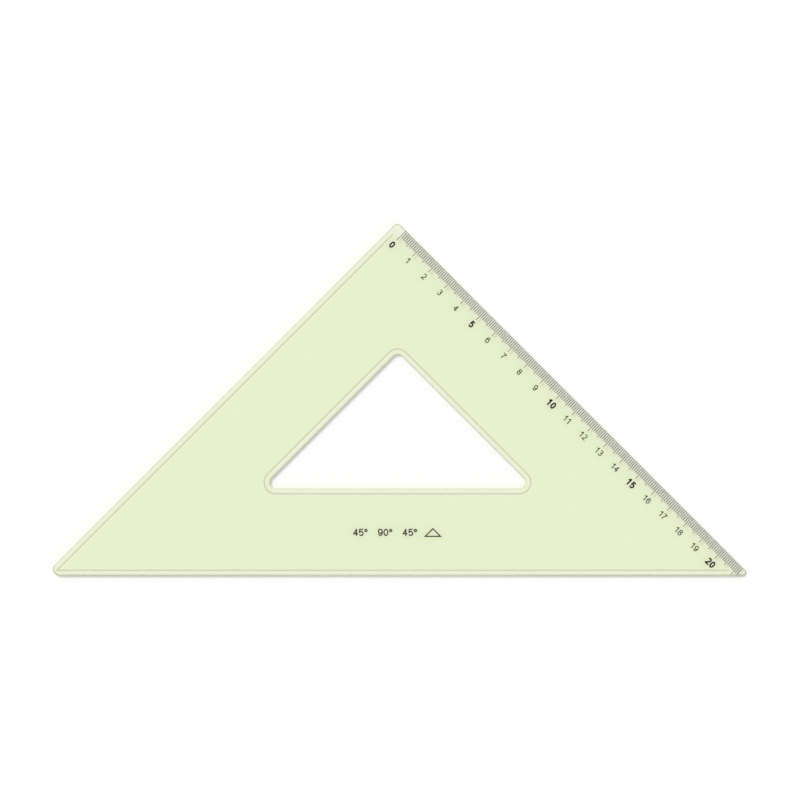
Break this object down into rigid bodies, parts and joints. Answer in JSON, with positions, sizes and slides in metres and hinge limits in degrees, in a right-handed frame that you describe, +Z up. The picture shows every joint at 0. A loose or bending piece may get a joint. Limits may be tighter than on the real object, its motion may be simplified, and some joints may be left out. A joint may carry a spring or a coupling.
{
  "type": "drafting triangle",
  "caption": "Clear right-angled drafting triangle with equal legs, a triangular cut-out, a lowered rim and a bevelled edge that carries a printed centimetre scale.",
  "frame": {"origin": "on the underside, at the middle of the bounding box, which falls inside the cut-out", "axes": "+X along the hypotenuse towards the end of the scale, +Y towards the right angle, +Z up through the printed face"},
  "size_m": [0.3082, 0.1562, 0.002],
  "materials": {
    "tinted_plastic": "clear pale green, moulded smooth",
    "black_ink": "printed film"
  },
  "bodies": {
    "root": {"angle_print": "black_ink", "centimetre_ticks": "black_ink", "half_centimetre_ticks": "black_ink", "millimetre_ticks": "black_ink", "numeral_0": "black_ink", "numeral_1": "black_ink", "numeral_10": "black_ink", "numeral_11": "black_ink", "numeral_12": "black_ink", "numeral_13": "black_ink", "numeral_14": "black_ink", "numeral_15": "black_ink", "numeral_16": "black_ink", "numeral_17": "black_ink", "numeral_18": "black_ink", "numeral_19": "black_ink", "numeral_2": "black_ink", "numeral_20": "black_ink", "numeral_3": "black_ink", "numeral_4": "black_ink", "numeral_5": "black_ink", "numeral_6": "black_ink", "numeral_7": "black_ink", "numeral_8": "black_ink", "numeral_9": "black_ink", "plate": "tinted_plastic", "triangle_symbol": "black_ink"}
  },
  "joints": []
}
